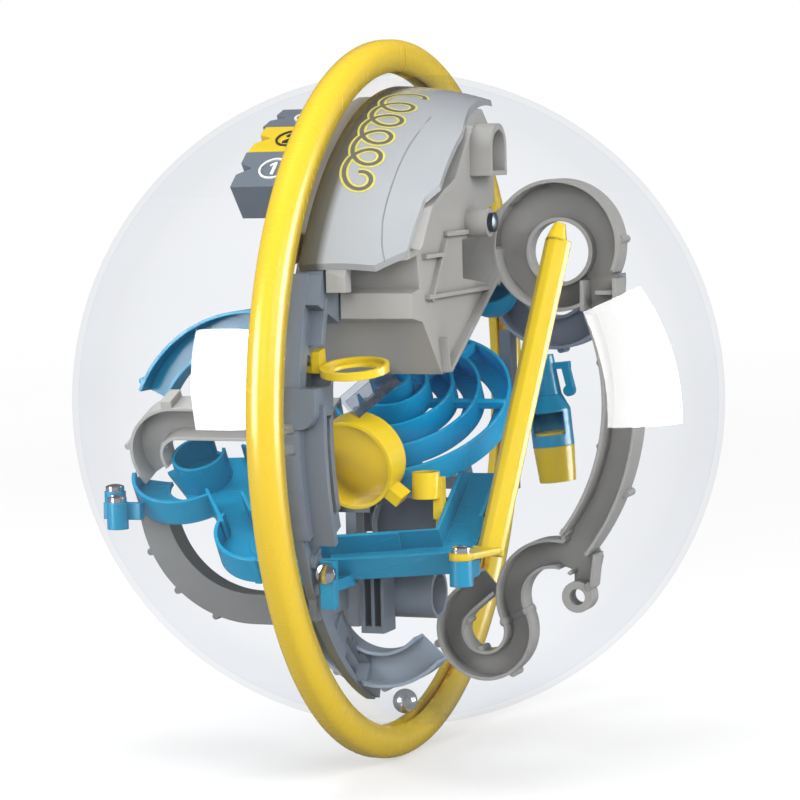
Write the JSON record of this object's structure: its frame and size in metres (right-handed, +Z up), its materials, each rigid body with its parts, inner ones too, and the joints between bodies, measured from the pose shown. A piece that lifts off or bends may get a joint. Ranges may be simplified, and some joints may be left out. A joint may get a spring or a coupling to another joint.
{
  "type": "tilt maze game",
  "caption": "Clear ball-shaped case with a hoop round its middle; a loose steel ball is tilted along coloured raised tracks fixed inside.",
  "frame": {"origin": "centre of the clear ball-shaped case, which is also the centre of the hoop", "axes": "+X along the hoop's axis, towards the side with the long side track; +Z up through the start housing; +Y away from the player"},
  "size_m": [0.1946, 0.214, 0.214],
  "materials": {
    "shell_left": "clear polished moulded plastic",
    "shell_right": "clear polished moulded plastic",
    "ring_near_half": "glossy yellow moulded plastic",
    "ring_far_half": "glossy yellow moulded plastic",
    "seam_glue": "amber set glue, uneven",
    "mid_frame": "slate grey moulded plastic, satin",
    "start_housing": "warm grey moulded plastic, satin",
    "lip_loop": "warm grey moulded plastic, satin",
    "label_panel": "pale grey printed label film",
    "start_block_one": "slate grey moulded plastic, satin",
    "start_block_two": "glossy yellow moulded plastic",
    "start_block_three": "slate grey moulded plastic, satin",
    "mark_one": "white print",
    "mark_two": "black print",
    "mark_three": "white print",
    "side_track": "warm grey moulded plastic, satin",
    "yellow_rail": "glossy yellow moulded plastic",
    "blue_elbow": "sky blue moulded plastic, satin",
    "blue_spiral": "sky blue moulded plastic, satin",
    "yellow_hoop": "glossy yellow moulded plastic",
    "yellow_drum": "glossy yellow moulded plastic",
    "small_cup": "glossy yellow moulded plastic",
    "clear_chute": "clear ribbed moulded plastic",
    "lower_bowl": "slate grey moulded plastic, satin",
    "lower_drum": "slate grey moulded plastic, satin",
    "lower_tube": "slate grey moulded plastic, satin",
    "rib_post": "slate grey moulded plastic, satin",
    "left_grey_track": "warm grey moulded plastic, satin",
    "left_blue_loop": "sky blue moulded plastic, satin",
    "left_cup": "sky blue moulded plastic, satin",
    "left_screw_block": "sky blue moulded plastic, satin",
    "left_dark_arc": "slate grey moulded plastic, satin",
    "upper_blue_track": "sky blue moulded plastic, satin",
    "core_beam": "slate grey moulded plastic, satin",
    "rear_bowl": "sky blue moulded plastic, satin",
    "rear_grey_arc": "blue grey moulded plastic",
    "blue_post": "sky blue moulded plastic, satin",
    "blue_dome": "sky blue moulded plastic, satin",
    "yellow_bucket": "glossy yellow moulded plastic",
    "bright_screws": "bright polished steel",
    "dark_screw": "blackened steel",
    "frame_pins": "grey moulded plastic",
    "steel_ball": "bright polished steel"
  },
  "bodies": {
    "case_and_tracks": {"shell_left": "shell_left", "shell_right": "shell_right", "ring_near_half": "ring_near_half", "ring_far_half": "ring_far_half", "seam_glue": "seam_glue", "mid_frame": "mid_frame", "start_housing": "start_housing", "lip_loop": "lip_loop", "label_panel": "label_panel", "start_block_one": "start_block_one", "start_block_two": "start_block_two", "start_block_three": "start_block_three", "mark_one": "mark_one", "mark_two": "mark_two", "mark_three": "mark_three", "side_track": "side_track", "yellow_rail": "yellow_rail", "blue_elbow": "blue_elbow", "blue_spiral": "blue_spiral", "yellow_hoop": "yellow_hoop", "yellow_drum": "yellow_drum", "small_cup": "small_cup", "clear_chute": "clear_chute", "lower_bowl": "lower_bowl", "lower_drum": "lower_drum", "lower_tube": "lower_tube", "rib_post": "rib_post", "left_grey_track": "left_grey_track", "left_blue_loop": "left_blue_loop", "left_cup": "left_cup", "left_screw_block": "left_screw_block", "left_dark_arc": "left_dark_arc", "upper_blue_track": "upper_blue_track", "core_beam": "core_beam", "rear_bowl": "rear_bowl", "rear_grey_arc": "rear_grey_arc", "blue_post": "blue_post", "blue_dome": "blue_dome", "yellow_bucket": "yellow_bucket", "bright_screws": "bright_screws", "dark_screw": "dark_screw", "frame_pins": "frame_pins"},
    "ball": {"steel_ball": "steel_ball"}
  },
  "joints": [
    {"name": "ball_roll", "type": "hinge", "parent": "case_and_tracks", "child": "ball", "pos_m": [0, 0, 0], "axis": [1, 0, 0], "range_deg": [-18, 75]}
  ]
}
